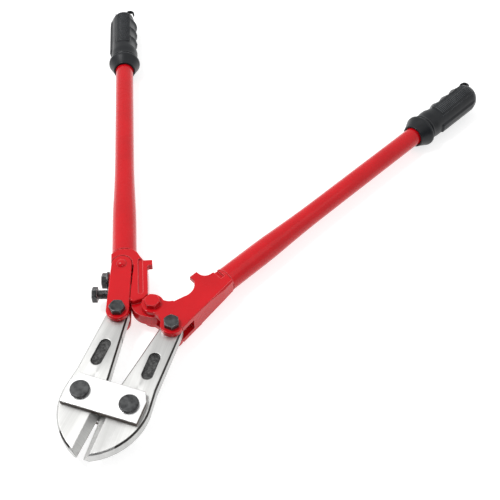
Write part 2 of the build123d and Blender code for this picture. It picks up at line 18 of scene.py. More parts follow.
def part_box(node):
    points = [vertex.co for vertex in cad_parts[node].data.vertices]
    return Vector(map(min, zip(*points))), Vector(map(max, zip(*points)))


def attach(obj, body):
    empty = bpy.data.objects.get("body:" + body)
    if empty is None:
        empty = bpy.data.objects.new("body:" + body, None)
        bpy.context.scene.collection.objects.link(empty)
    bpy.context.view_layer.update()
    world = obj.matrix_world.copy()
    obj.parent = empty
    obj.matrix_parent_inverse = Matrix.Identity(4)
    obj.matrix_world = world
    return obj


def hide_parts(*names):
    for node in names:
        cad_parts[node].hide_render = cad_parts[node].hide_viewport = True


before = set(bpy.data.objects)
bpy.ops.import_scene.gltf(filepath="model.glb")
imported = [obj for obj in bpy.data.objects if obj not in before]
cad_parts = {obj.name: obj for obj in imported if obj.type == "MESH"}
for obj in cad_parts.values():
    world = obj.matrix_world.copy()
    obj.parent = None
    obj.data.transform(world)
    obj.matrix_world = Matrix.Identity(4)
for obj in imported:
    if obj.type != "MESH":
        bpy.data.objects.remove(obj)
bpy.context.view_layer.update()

# %% [markdown]
# ## Where things are
#
# Everything round in this tool turns about an upright axis, so most places
# are a point in plan.  The handles are the exception: each is a line in plan,
# leaning out from the centre.  A small helper turns "so far along the
# handle, so far beside it" into a point of the shared frame, and all the grip
# work below is done in those plain terms.

# %% Sizes shared with the tool
MM = 0.001
LEAN = math.radians(25.2)      # each handle away from the centre line
MID = 17.0 * MM                # height of the tool's middle plane
JAW_HALF = 6.2 * MM
TAIL_LEFT = Vector((-27.156, -16.978)) * MM
LINK_TURN = math.radians(21.2)


def box_centre(node):
    low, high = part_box(node)
    return (low + high) / 2


BOLT_LEFT = box_centre("strap_bolt_left")
BOLT_RIGHT = box_centre("strap_bolt_right")
HEAD_TURN = math.atan2(BOLT_RIGHT.y - BOLT_LEFT.y, BOLT_RIGHT.x - BOLT_LEFT.x)
print("head turned by", round(math.degrees(HEAD_TURN), 2), "degrees")


def handle_matrix(side, beside):
    """Local +Y runs along the handle's tube; local X points to its right."""
    turn = Matrix.Rotation(-side * LEAN, 4, "Z")
    return Matrix.Translation((0, 0, MID)) @ turn @ Matrix.Translation((beside * MM, 0, 0))


# %% [markdown]
# ## Camera
#
# A camera's place is easiest to state as a photographer would: which way it
# faces round the table, how far it tips down, and how far its top leans.
# Those three turns make one rotation matrix.

# %% Camera
CAMERA_AT = Vector((0.2317, -0.4040, 0.6554))
FACING, TIPPED, LEANING = 18.99, 50.17, 1.12    # degrees


def make_camera():
    data = bpy.data.cameras.new("camera")
    data.lens, data.sensor_width = 61.36, 36.0
    data.clip_start, data.clip_end = 0.01, 20.0
    camera = bpy.data.objects.new("camera", data)
    bpy.context.scene.collection.objects.link(camera)
    turn = (
        Matrix.Rotation(math.radians(FACING), 4, "Z")
        @ Matrix.Rotation(math.radians(90 - TIPPED), 4, "X")
        @ Matrix.Rotation(math.radians(LEANING), 4, "Z")
    )
    camera.matrix_world = Matrix.Translation(CAMERA_AT) @ turn
    bpy.context.scene.camera = camera
    return camera


camera = make_camera()
looks_along = camera.matrix_world.to_3x3() @ Vector((0, 0, -1))
print("camera looks along", [round(v, 3) for v in looks_along])

# %% [markdown]
# ## Light
#
# Bright steel shows nothing of its own: it shows the room.  The room here is
# white overhead and beyond the tool, and dark on the side where the viewer
# stands, so flat faces come out bright while edges that lean toward the viewer
# turn dark and draw the outline.  The key lamp is small and hangs high on the
# left, so its shadow falls close by on the right.  A weak lamp near the viewer
# catches the near edges, and a wide dim one at the right fills the shadow.

# %% World
DARK_SIDE = (0.33, -0.86, 0.38)      # the way from the tool to the viewer
ROOM_WHITE, ROOM_DARK = (1.0, 1.0, 1.0, 1), (0.10, 0.10, 0.105, 1)
ROOM_STRENGTH = 0.88


def node_of(tree, kind, **values):
    node = tree.nodes.new(kind)
    for name, value in values.items():
        setattr(node, name, value)
    return node


def make_world():
    world = bpy.data.worlds.new("studio")
    world.use_nodes = True
    tree = world.node_tree
    tree.nodes.clear()
    coords = node_of(tree, "ShaderNodeTexCoord")
    toward = node_of(tree, "ShaderNodeVectorMath", operation="DOT_PRODUCT")
    toward.inputs[1].default_value = DARK_SIDE
    ramp = node_of(tree, "ShaderNodeValToRGB")
    ramp.color_ramp.elements[0].position = 0.30
    ramp.color_ramp.elements[0].color = ROOM_WHITE
    ramp.color_ramp.elements[1].position = 0.78
    ramp.color_ramp.elements[1].color = ROOM_DARK
    back = node_of(tree, "ShaderNodeBackground")
    back.inputs["Strength"].default_value = ROOM_STRENGTH
    out = node_of(tree, "ShaderNodeOutputWorld")
    tree.links.new(coords.outputs["Generated"], toward.inputs[0])
    tree.links.new(toward.outputs["Value"], ramp.inputs[0])
    tree.links.new(ramp.outputs[0], back.inputs[0])
    tree.links.new(back.outputs[0], out.inputs[0])
    bpy.context.scene.world = world


make_world()
bpy.context.scene.view_settings.view_transform = "Standard"


# %% Lamps
def soft_lamp(name, at, target, size, watts):
    data = bpy.data.lights.new(name, "AREA")
    data.shape, data.size, data.energy = "DISK", size, watts
    lamp = bpy.data.objects.new(name, data)
    lamp.location = at
    lamp.rotation_euler = (Vector(target) - Vector(at)).to_track_quat("-Z", "Y").to_euler()
    bpy.context.scene.collection.objects.link(lamp)


soft_lamp("key", (-0.70, -0.05, 1.50), (0, 0.05, 0), 0.45, 14)
soft_lamp("edge", (0.55, -0.85, 1.25), (0, 0.0, 0), 0.25, 2.2)
soft_lamp("fill", (0.9, 0.2, 1.6), (0, 0.1, 0), 1.6, 3)

# %% [markdown]
# ## Floor
#
# A flat white sheet, bright enough that only the soft shadow under the tool
# is left to see.  Much of that is light of its own, so it stays white where
# the lamps fall off.  It lies a hair below the tool.

# %% Floor
FLOOR_HALF, FLOOR_BELOW = 3.0, 0.3 * MM


def make_floor():
    mesh = bpy.data.meshes.new("floor")
    half = FLOOR_HALF
    corners = [(-half, -half, 0), (half, -half, 0), (half, half, 0), (-half, half, 0)]
    mesh.from_pydata(corners, [], [(0, 1, 2, 3)])
    floor = bpy.data.objects.new("floor", mesh)
    floor.location.z = -FLOOR_BELOW
    bpy.context.scene.collection.objects.link(floor)
    paper = bpy.data.materials.new("floor_paper")
    paper.use_nodes = True
    shader = paper.node_tree.nodes["Principled BSDF"]
    shader.inputs["Base Color"].default_value = (0.50, 0.50, 0.50, 1)
    shader.inputs["Roughness"].default_value = 0.9
    shader.inputs["Specular IOR Level"].default_value = 0.1
    shader.inputs["Emission Color"].default_value = (1, 1, 1, 1)
    shader.inputs["Emission Strength"].default_value = 0.72
    mesh.materials.append(paper)


make_floor()

# %% [markdown]
# ## Effects that finishes share
#
# A finish is a shader plus the small accidents that make it real.  The
# accidents are built once each as node groups: uneven tone from handling,
# fine lines left by a grinding belt, the pebbled skin of a casting, and a
# mask along edges that serves both wear and painted edge highlights.  Each
# group gives out plain masks and values, and the shader stays in the material.

# %% Helpers for node groups
def new_group(name, inputs, outputs):
    tree = bpy.data.node_groups.new(name, "ShaderNodeTree")
    for label, kind, value in inputs:
        socket = tree.interface.new_socket(name=label, in_out="INPUT", socket_type=kind)
        if value is not None:
            socket.default_value = value
    for label, kind in outputs:
        tree.interface.new_socket(name=label, in_out="OUTPUT", socket_type=kind)
    return tree, tree.nodes.new("NodeGroupInput"), tree.nodes.new("NodeGroupOutput")


def maths(tree, operation, a, b=None):
    node = node_of(tree, "ShaderNodeMath", operation=operation)
    for socket, value in zip(node.inputs, (a, b)):
        if value is None:
            continue
        if isinstance(value, (int, float)):
            socket.default_value = value
        else:
            tree.links.new(value, socket)
    return node.outputs[0]


def remap(tree, value, low, high, to_low=0.0, to_high=1.0):
    node = node_of(tree, "ShaderNodeMapRange", clamp=True)
    tree.links.new(value, node.inputs["Value"])
    for label, number in (("From Min", low), ("From Max", high), ("To Min", to_low), ("To Max", to_high)):
        node.inputs[label].default_value = number
    return node.outputs["Result"]


def noise(tree, vector, scale, detail=3.0, rough=0.5):
    node = node_of(tree, "ShaderNodeTexNoise")
    tree.links.new(vector, node.inputs["Vector"])
    if isinstance(scale, (int, float)):
        node.inputs["Scale"].default_value = scale
    else:
        tree.links.new(scale, node.inputs["Scale"])
    node.inputs["Detail"].default_value = detail
    node.inputs["Roughness"].default_value = rough
    return node.outputs["Fac"]


# %% Uneven tone from handling
def build_handling():
    tree, given, result = new_group(
        "handling",
        [("Vector", "NodeSocketVector", None), ("Patch Scale", "NodeSocketFloat", 30.0)],
        [("Tone", "NodeSocketFloat"), ("Smudge", "NodeSocketFloat")],
    )
    broad = noise(tree, given.outputs["Vector"], given.outputs["Patch Scale"], 4.0, 0.6)
    fine_scale = maths(tree, "MULTIPLY", given.outputs["Patch Scale"], 9.0)
    fine = noise(tree, given.outputs["Vector"], fine_scale, 2.0)
    tree.links.new(remap(tree, broad, 0.3, 0.7), result.inputs["Tone"])
    smudge = maths(tree, "ADD", maths(tree, "MULTIPLY", broad, 0.7), maths(tree, "MULTIPLY", fine, 0.3))
    tree.links.new(remap(tree, smudge, 0.35, 0.65), result.inputs["Smudge"])
    return tree


# %% Lines from a grinding belt
def build_grind():
    tree, given, result = new_group(
        "grind_lines",
        [
            ("Vector", "NodeSocketVector", None),
            ("Across", "NodeSocketFloat", 1500.0),
            ("Along", "NodeSocketFloat", 12.0),
        ],
        [("Lines", "NodeSocketFloat"), ("Bands", "NodeSocketFloat")],
    )
    split = node_of(tree, "ShaderNodeSeparateXYZ")
    tree.links.new(given.outputs["Vector"], split.inputs[0])

    def stretched(across):
        join = node_of(tree, "ShaderNodeCombineXYZ")
        tree.links.new(maths(tree, "MULTIPLY", split.outputs["X"], across), join.inputs["X"])
        tree.links.new(maths(tree, "MULTIPLY", split.outputs["Y"], given.outputs["Along"]), join.inputs["Y"])
        tree.links.new(maths(tree, "MULTIPLY", split.outputs["Z"], 60.0), join.inputs["Z"])
        return join.outputs[0]

    tree.links.new(noise(tree, stretched(given.outputs["Across"]), 1.0, 2.0), result.inputs["Lines"])
    wide = maths(tree, "MULTIPLY", given.outputs["Across"], 0.12)
    tree.links.new(remap(tree, noise(tree, stretched(wide), 1.0, 2.0), 0.3, 0.7), result.inputs["Bands"])
    return tree


# %% Skin of a casting, and edge masks for wear and painted highlights
def build_cast_skin():
    tree, given, result = new_group(
        "cast_skin",
        [("Vector", "NodeSocketVector", None), ("Grain", "NodeSocketFloat", 700.0)],
        [("Height", "NodeSocketFloat")],
    )
    pebbles = node_of(tree, "ShaderNodeTexVoronoi", feature="SMOOTH_F1")
    pebbles.inputs["Smoothness"].default_value = 0.6
    tree.links.new(given.outputs["Vector"], pebbles.inputs["Vector"])
    tree.links.new(given.outputs["Grain"], pebbles.inputs["Scale"])
    waves = noise(tree, given.outputs["Vector"], maths(tree, "MULTIPLY", given.outputs["Grain"], 0.3), 3.0)
    height = maths(tree, "ADD", maths(tree, "MULTIPLY", pebbles.outputs["Distance"], 0.35), waves)
    tree.links.new(height, result.inputs["Height"])
    return tree


def build_edges():
    tree, given, result = new_group(
        "edges",
        [("Vector", "NodeSocketVector", None), ("Normal", "NodeSocketVector", None)],
        [("Edge", "NodeSocketFloat"), ("Worn", "NodeSocketFloat"), ("Normal", "NodeSocketVector")],
    )
    rounded = node_of(tree, "ShaderNodeBevel", samples=6)
    rounded.inputs["Radius"].default_value = 1.0 * MM
    flat = node_of(tree, "ShaderNodeNewGeometry")
    same = node_of(tree, "ShaderNodeVectorMath", operation="DOT_PRODUCT")
    tree.links.new(rounded.outputs[0], same.inputs[0])
    tree.links.new(flat.outputs["Normal"], same.inputs[1])
    turn = maths(tree, "SUBTRACT", 1.0, same.outputs["Value"])
    rag = remap(tree, noise(tree, given.outputs["Vector"], 260.0, 4.0, 0.7), 0.4, 0.62)
    edge = remap(tree, turn, 0.02, 0.12)
    tree.links.new(edge, result.inputs["Edge"])
    tree.links.new(maths(tree, "MULTIPLY", edge, rag), result.inputs["Worn"])
    tree.links.new(rounded.outputs[0], result.inputs["Normal"])
    return tree


HANDLING, GRIND, CAST_SKIN, EDGES = build_handling(), build_grind(), build_cast_skin(), build_edges()
print("effects", [g.name for g in (HANDLING, GRIND, CAST_SKIN, EDGES)])

# %% [markdown]
# ## Finishes
#
# Each finish starts from the same bench: a material whose pattern is tied to
# the object's own coordinates, with one Principled shader.  Numbers that
# don't change over the surface go straight onto the shader's sockets.

# %% A material to start from
class Finish:
    """A material, its shader and short ways to wire patterns into it."""

    def __init__(self, name, turn=0.0, at=(0.0, 0.0, 0.0), **constants):
        self.material = bpy.data.materials.new(name)
        self.material.use_nodes = True
        self.tree = self.material.node_tree
        self.shader = self.tree.nodes["Principled BSDF"]
        coords = node_of(self.tree, "ShaderNodeTexCoord")
        placed = node_of(self.tree, "ShaderNodeMapping", vector_type="TEXTURE")
        placed.inputs["Location"].default_value = at
        placed.inputs["Rotation"].default_value = (0, 0, turn)
        self.link(coords.outputs["Object"], placed.inputs["Vector"])
        self.at = placed.outputs["Vector"]
        for label, value in constants.items():
            self.shader.inputs[label.replace("_", " ")].default_value = value

    def link(self, a, b):
        self.tree.links.new(a, b)

    def group(self, tree, **values):
        node = node_of(self.tree, "ShaderNodeGroup", node_tree=tree)
        self.link(self.at, node.inputs["Vector"])
        for label, value in values.items():
            node.inputs[label.replace("_", " ")].default_value = value
        return node

    def blend(self, mask, a, b):
        """Colour or link a where the mask is 0, b where it is 1."""
        first, second, mixed = 6, 7, 2      # the colour sockets of this node
        node = node_of(self.tree, "ShaderNodeMix", data_type="RGBA")
        self.link(mask, node.inputs["Factor"])
        for label, value in ((first, a), (second, b)):
            if isinstance(value, tuple):
                node.inputs[label].default_value = (*value, 1)
            else:
                self.link(value, node.inputs[label])
        return node.outputs[mixed]

    def bump(self, height, depth, strength, under=None):
        node = node_of(self.tree, "ShaderNodeBump")
        node.inputs["Distance"].default_value = depth
        node.inputs["Strength"].default_value = strength
        self.link(height, node.inputs["Height"])
        if under is not None:
            self.link(under, node.inputs["Normal"])
        return node.outputs["Normal"]

    def facing_up(self):
        """How level the surface is, from 0 on a wall to 1 on top or underneath."""
        geometry = node_of(self.tree, "ShaderNodeNewGeometry")
        split = node_of(self.tree, "ShaderNodeSeparateXYZ")
        self.link(geometry.outputs["True Normal"], split.inputs[0])
        return maths(self.tree, "ABSOLUTE", split.outputs["Z"])

    def into(self, **links):
        for label, socket in links.items():
            self.link(socket, self.shader.inputs[label.replace("_", " ")])


# %% [markdown]
# ### Red paint
#
# Thick gloss enamel.  On the drawn tubes it is smooth with a faint orange
# peel; on the cast yokes the foundry skin shows through.  Sharp edges are
# painted paler pink, a painted highlight standing in for the shine along them.

# %% Red paint
# RED_EDGE_HIGHLIGHT is the pale pink of a painted highlight on sharp edges.
RED, RED_DEEP, RED_EDGE_HIGHLIGHT = (0.60, 0.0045, 0.010), (0.50, 0.0036, 0.008), (0.95, 0.20, 0.21)


def red_paint(name, skin_depth, grain):
    f = Finish(name, Coat_Weight=0.6, Coat_Roughness=0.06, Coat_IOR=1.42, Specular_IOR_Level=0.05)
    handled = f.group(HANDLING, Patch_Scale=26.0)
    edges = f.group(EDGES)
    skin = f.group(CAST_SKIN, Grain=grain)
    tone = f.blend(handled.outputs["Tone"], RED, RED_DEEP)
    # Sharp edges are blended towards pale pink: a painted highlight.
    painted_edge_highlight = maths(f.tree, "MULTIPLY", edges.outputs["Edge"], 0.8)
    f.into(
        Base_Color=f.blend(painted_edge_highlight, tone, RED_EDGE_HIGHLIGHT),
        Roughness=remap(f.tree, handled.outputs["Smudge"], 0.0, 1.0, 0.22, 0.32),
        Normal=f.bump(skin.outputs["Height"], skin_depth, 0.5, edges.outputs["Normal"]),
    )
    return f.material


PAINT_SMOOTH = red_paint("red_paint_smooth", 0.02 * MM, 420.0)
PAINT_CAST = red_paint("red_paint_cast", 0.16 * MM, 620.0)
PAINT_FASTENER = red_paint("red_paint_fastener", 0.08 * MM, 900.0)

# %% [markdown]
# ### Ground jaws
#
# The jaws are forged, then ground along their length on a belt: pale, satin
# and faintly lined.  The bevels are ground the other way; the right one is
# painted bright and the left one dull, as painted light and shade.  The broken
# edges are brushed grey, and the ones on each jaw's right are painted dark as
# painted shade.  The sunk panels keep dark scale, and their walls are painted
# near black as painted shade.  Where each of these sits is known in the jaw's
# own frame, so the pattern is turned into that frame and masked by simple
# distances.

# %% Jaw steel
CLOSED_TURN = math.radians(3.226)
BEVEL_INWARD, BEVEL_START = 14.6 * MM, -10.0 * MM
SUNK_INNER, SUNK_OUTER = 6.0 * MM, -12.0 * MM
SUNK_START, SUNK_END = 20.0 * MM, 66.0 * MM


def jaw_steel(name, bolt, side):
    turn = HEAD_TURN + side * CLOSED_TURN
    f = Finish(name, turn=turn, at=(bolt.x, bolt.y, MID), Anisotropic=0.35)
    tree = f.tree
    split = node_of(tree, "ShaderNodeSeparateXYZ")
    f.link(f.at, split.inputs[0])
    along, up = split.outputs["Y"], maths(tree, "ABSOLUTE", split.outputs["Z"])
    inward = maths(tree, "MULTIPLY", split.outputs["X"], -float(side))
    level = f.facing_up()
    sloping = maths(tree, "MULTIPLY", remap(tree, level, 0.93, 0.90), remap(tree, level, 0.3, 0.4))
    near_cut = maths(
        tree, "MULTIPLY",
        remap(tree, inward, BEVEL_INWARD, BEVEL_INWARD + 0.2 * MM),
        remap(tree, along, BEVEL_START, BEVEL_START - 0.4 * MM),
    )
    bevel = maths(tree, "MULTIPLY", sloping, near_cut)
    broken = maths(tree, "MULTIPLY", sloping, maths(tree, "SUBTRACT", 1.0, near_cut))
    # Broken edges on the jaw's right are painted dark: painted shade where they face away from the light.
    right_edge_painted_shade = maths(tree, "MULTIPLY", broken, remap(tree, split.outputs["X"], -0.5 * MM, 0.5 * MM))
    sunk = maths(
        tree, "MULTIPLY",
        remap(tree, up, JAW_HALF - 0.15 * MM, JAW_HALF - 0.30 * MM),
        maths(
            tree, "MULTIPLY",
            remap(tree, inward, SUNK_INNER, SUNK_INNER - 0.5 * MM),
            remap(tree, along, SUNK_START, SUNK_START + 1.0 * MM),
        ),
    )
    sunk = maths(tree, "MULTIPLY", sunk, remap(tree, inward, SUNK_OUTER, SUNK_OUTER + 1.0 * MM))
    sunk = maths(tree, "MULTIPLY", sunk, remap(tree, along, SUNK_END, SUNK_END - 1.0 * MM))
    lines = f.group(GRIND, Across=1700.0, Along=14.0)
    cross = f.group(GRIND, Across=40.0, Along=1100.0)
    handled = f.group(HANDLING, Patch_Scale=45.0)
    skin = f.group(CAST_SKIN, Grain=1300.0)
    edges = f.group(EDGES)
    face = f.blend(lines.outputs["Bands"], (0.64, 0.64, 0.63), (0.54, 0.54, 0.53))
    face = f.blend(maths(tree, "MULTIPLY", lines.outputs["Lines"], 0.35), face, (0.30, 0.30, 0.29))
    # The right bevel is painted bright and the left one dull: painted light and shade on the two bevels.
    bevel_painted_light_shade = (0.86, 0.86, 0.85) if side == 1 else (0.56, 0.56, 0.55)
    slope = f.blend(cross.outputs["Bands"], bevel_painted_light_shade, tuple(0.86 * tone for tone in bevel_painted_light_shade))
    # This near-black colour is painted shade for the broken edges on the jaw's right.
    scale = f.blend(handled.outputs["Tone"], (0.030, 0.028, 0.026), (0.070, 0.067, 0.065))
    hollows = remap(tree, skin.outputs["Height"], 0.5, 0.9)
    pit = f.blend(hollows, (0.020, 0.020, 0.020), (0.115, 0.115, 0.113))
    colour = f.blend(bevel, face, slope)
    colour = f.blend(broken, colour, (0.55, 0.55, 0.54))
    colour = f.blend(right_edge_painted_shade, colour, scale)
    colour = f.blend(sunk, colour, pit)
    # The walls of the sunk panels are painted almost black: painted shade in the recess.
    recess_wall_painted_shade = maths(tree, "MULTIPLY", sunk, remap(tree, level, 0.4, 0.2))
    colour = f.blend(recess_wall_painted_shade, colour, (0.004, 0.004, 0.004))
    colour = f.blend(maths(tree, "MULTIPLY", edges.outputs["Worn"], 0.35), colour, (0.9, 0.9, 0.9))
    rough = remap(tree, handled.outputs["Smudge"], 0.0, 1.0, 0.34, 0.46)
    rough = maths(tree, "ADD", rough, maths(tree, "MULTIPLY", sunk, 0.3))
    metal = maths(tree, "SUBTRACT", 0.92, maths(tree, "MULTIPLY", sunk, 0.5))
    fine = f.bump(lines.outputs["Lines"], 0.03 * MM, 0.5, edges.outputs["Normal"])
    pitted = maths(tree, "MULTIPLY", skin.outputs["Height"], sunk)
    f.into(Base_Color=colour, Roughness=rough, Metallic=metal, Normal=f.bump(pitted, 0.35 * MM, 0.8, fine))
    return f.material


JAW_STEEL = {
    "jaw_left": jaw_steel("jaw_steel_left", BOLT_LEFT, -1),
    "jaw_right": jaw_steel("jaw_steel_right", BOLT_RIGHT, 1),
}

# %% [markdown]
# ### Side plates
#
# Polished on the face.  The sheared sides are painted brown-black, as
# painted shade and painted dark reflection on walls that face away from the light.

# %% Side plate steel
def plate_steel():
    f = Finish("plate_steel", turn=HEAD_TURN, at=((BOLT_LEFT.x + BOLT_RIGHT.x) / 2, BOLT_LEFT.y, MID))
    lines = f.group(GRIND, Across=900.0, Along=20.0)
    handled = f.group(HANDLING, Patch_Scale=50.0)
    edges = f.group(EDGES)
    side = remap(f.tree, f.facing_up(), 0.6, 0.3)
    face = f.blend(lines.outputs["Bands"], (0.95, 0.95, 0.95), (0.90, 0.90, 0.90))
    # Brown-black on the walls is painted shade and painted dark reflection.
    sides_painted_shade = f.blend(handled.outputs["Tone"], (0.045, 0.032, 0.026), (0.10, 0.075, 0.062))
    polished = remap(f.tree, handled.outputs["Smudge"], 0, 1, 0.28, 0.36)
    f.into(
        Base_Color=f.blend(side, face, sides_painted_shade),
        Metallic=maths(f.tree, "SUBTRACT", 0.9, maths(f.tree, "MULTIPLY", side, 0.5)),
        Roughness=maths(f.tree, "ADD", polished, maths(f.tree, "MULTIPLY", side, 0.15)),
        Normal=f.bump(lines.outputs["Lines"], 0.02 * MM, 0.4, edges.outputs["Normal"]),
    )
    return f.material


PLATE_STEEL = plate_steel()

# %% [markdown]
# ### Blackened fasteners
#
# Quenched in oil, so charcoal with a soft sheen.  The corners are painted
# pale: partly rubbed bright by spanners, partly a painted highlight on the rims.

# %% Blackened steel
def black_steel(name, dark, pale, rubbed):
    f = Finish(name)
    handled = f.group(HANDLING, Patch_Scale=210.0)
    skin = f.group(CAST_SKIN, Grain=1500.0)
    edges = f.group(EDGES)
    tone = f.blend(handled.outputs["Tone"], dark, pale)
    # Corners go pale grey: partly spanner wear, partly a painted highlight.
    worn_and_highlight = maths(f.tree, "MULTIPLY", edges.outputs["Worn"], rubbed)
    f.into(
        Base_Color=f.blend(worn_and_highlight, tone, (0.62, 0.62, 0.63)),
        Roughness=remap(f.tree, handled.outputs["Smudge"], 0, 1, 0.30, 0.48),
        Normal=f.bump(skin.outputs["Height"], 0.05 * MM, 0.4, edges.outputs["Normal"]),
    )
    f.shader.inputs["Metallic"].default_value = 0.75
    return f.material


BOLT_BLACK = black_steel("bolt_black", (0.026, 0.027, 0.028), (0.085, 0.087, 0.088), 0.9)
NUT_DARK = black_steel("nut_dark", (0.085, 0.085, 0.088), (0.16, 0.16, 0.165), 0.6)

# %% [markdown]
# ### Grip rubber
#
# A dense moulded compound, nearly black with a cool cast.  It has a fine
# eggshell grain.  The ribs and pips that stand proud are a paler copy: partly
# rubbed by palms, partly a painted highlight where their gloss catches light.

# %% Grip rubber
def grip_rubber(name, dark, pale):
    f = Finish(name, Specular_IOR_Level=0.30)
    handled = f.group(HANDLING, Patch_Scale=38.0)
    skin = f.group(CAST_SKIN, Grain=1800.0)
    f.into(
        Base_Color=f.blend(handled.outputs["Tone"], dark, pale),
        Roughness=remap(f.tree, handled.outputs["Smudge"], 0, 1, 0.28, 0.42),
        Normal=f.bump(skin.outputs["Height"], 0.05 * MM, 0.5),
    )
    return f.material


GRIP_RUBBER = grip_rubber("grip_rubber", (0.0050, 0.0062, 0.0078), (0.0100, 0.0120, 0.0150))
# A paler copy for the ribs and pips: partly rubbed wear, partly a painted highlight.
RUBBED_SHEEN_RUBBER = grip_rubber("grip_rubber_rubbed_sheen", (0.028, 0.030, 0.033), (0.075, 0.080, 0.085))

# %% Put the finishes on the CAD pieces
FINISH_OF = {
    PAINT_SMOOTH: ["tube_left", "tube_right", "link_plate_upper", "link_plate_lower"],
    PAINT_CAST: ["yoke_left", "yoke_right", "link_block"],
    PAINT_FASTENER: ["pivot_bolt", "pivot_nut", "link_rivet"],
    PLATE_STEEL: ["strap_upper", "strap_lower"],
    BOLT_BLACK: [
        "strap_bolt_left", "strap_bolt_right", "link_bolt", "tail_bolt",
        "adjuster_upper", "adjuster_lower", "adjuster_washer",
    ],
    NUT_DARK: ["strap_nut_left", "strap_nut_right", "link_nut", "tail_nut"],
    JAW_STEEL["jaw_left"]: ["jaw_left"],
    JAW_STEEL["jaw_right"]: ["jaw_right"],
}
for material, nodes in FINISH_OF.items():
    for node in nodes:
        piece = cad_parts[node]
        for place in piece.material_slots:
            place.material = material
print("finished", sum(len(nodes) for nodes in FINISH_OF.values()), "CAD pieces")

# %% [markdown]
# ## The grips
#
# A moulded grip has a flared guard at its mouth, a thin ring behind it, four
# finger hollows on the side facing the other handle, a flat panel above and
# below, a flat spine on the back, and a parting line where the two halves of
# the mould met.  It could be sculpted, but its shape follows a rule: at every
# station along the handle the section is a circle whose radius depends on the
# station and on the angle round it.  So the whole skin is one function of two
# numbers, swept into rings and closed round the tube.

# %% The rule for a grip's radius
GRIP_LENGTH, BORE_DEPTH, BORE = 106.0, 92.0, 10.03
GRIP_BODY, GRIP_END = 15.4, 13.5
FINGER_PITCH, FINGER_DEPTH, FINGER_COUNT = 17.6, 3.1, 4
LAST_FINGER = 11.5            # from the grip's end to the last hollow's middle
PANEL_FROM, PANEL_TO, PANEL_HALF = 38.0, 98.0, math.radians(36)
PANEL_RISE = 0.55
PARTING_RISE, PARTING_HALF = 0.35, 0.75
SPINE_RISE, SPINE_HALF = 1.7, 5.2
RIDGES_START = 34


def smooth(value, low, high):
    t = min(1.0, max(0.0, (value - low) / (high - low)))
    return t * t * (3 - 2 * t)


def along_knots(station, knots):
    """A value eased between neighbouring (station, value) knots."""
    for (s0, v0), (s1, v1) in zip(knots, knots[1:]):
        if station <= s1:
            return v0 + (v1 - v0) * smooth(station, s0, s1)
    return knots[-1][1]


SKIRT_END, SKIRT_MOUTH, SKIRT_RIM = 14.5, 12.4, 16.9
SKIRT_SPREAD = 1.1            # wider sideways than it is high
SKIRT_BACK = 15.2             # where its rear slope begins
SKIRT_WIDEST = SKIRT_END - 2.2
BEHIND_SKIRT = [
    (SKIRT_END, SKIRT_RIM), (SKIRT_BACK, 16.6), (17.0, 14.7), (17.8, 14.5), (19.0, 15.6), (20.4, 14.6),
    (30.0, GRIP_BODY), (GRIP_LENGTH, GRIP_BODY),
]


def grip_radius(station, angle):
    """Skin radius in mm; the angle is measured from the side with the fingers."""
    flare = min(1.0, station / SKIRT_WIDEST)
    if station < SKIRT_END:
        radius = SKIRT_MOUTH + (SKIRT_RIM - SKIRT_MOUTH) * flare ** 1.15
    else:
        radius = along_knots(station, BEHIND_SKIRT)
    if station < SKIRT_BACK:
        radius += SKIRT_SPREAD * flare * math.cos(angle) ** 2
    top = abs(abs(angle) - math.pi / 2)
    # fingers
    for i in range(FINGER_COUNT):
        middle = GRIP_LENGTH - LAST_FINGER - i * FINGER_PITCH
        off = abs(station - middle) / (FINGER_PITCH / 2)
        if off < 1.0:
            radius -= FINGER_DEPTH * (1 - off ** 2.4) * max(0.0, math.cos(angle)) ** 2.2
    # flat panel above and below
    lengthwise = (station - (PANEL_FROM + PANEL_TO) / 2) / ((PANEL_TO - PANEL_FROM) / 2)
    reach = lengthwise ** 6 + (top / PANEL_HALF) ** 6
    radius += PANEL_RISE * (1 - smooth(reach, 0.75, 1.1))
    # parting line, and a flat spine on the back
    if station > RIDGES_START:
        ridge = min(abs(angle), math.pi - abs(angle)) * radius
        radius += PARTING_RISE * (1 - smooth(ridge, 0.25, PARTING_HALF))
        from_back = abs(math.pi - abs(angle)) * radius
        spine = 1 - smooth(from_back, SPINE_HALF - 0.8, SPINE_HALF)
        radius += SPINE_RISE * spine * smooth(GRIP_LENGTH - station, 8, 18)
    # rounded end
    left = GRIP_LENGTH - station
    if left < GRIP_END:
        radius -= GRIP_END - math.sqrt(max(0.0, GRIP_END ** 2 - (GRIP_END - left) ** 2))
    return radius


# %% Sweep the rule into a closed skin
def mesh_object(name, bm, material):
    mesh = bpy.data.meshes.new(name)
    bm.to_mesh(mesh)
    bm.free()
    mesh.materials.append(material)
    for polygon in mesh.polygons:
        polygon.use_smooth = True
    made = bpy.data.objects.new(name, mesh)
    bpy.context.scene.collection.objects.link(made)
    return made


def grip_stations():
    stations, s = [], 0.0
    while s < GRIP_LENGTH - 0.02:
        stations.append(s)
        s += 0.8 if s < GRIP_LENGTH - 2.5 else 0.35
    return stations + [GRIP_LENGTH - 0.02]


ROUND = 144


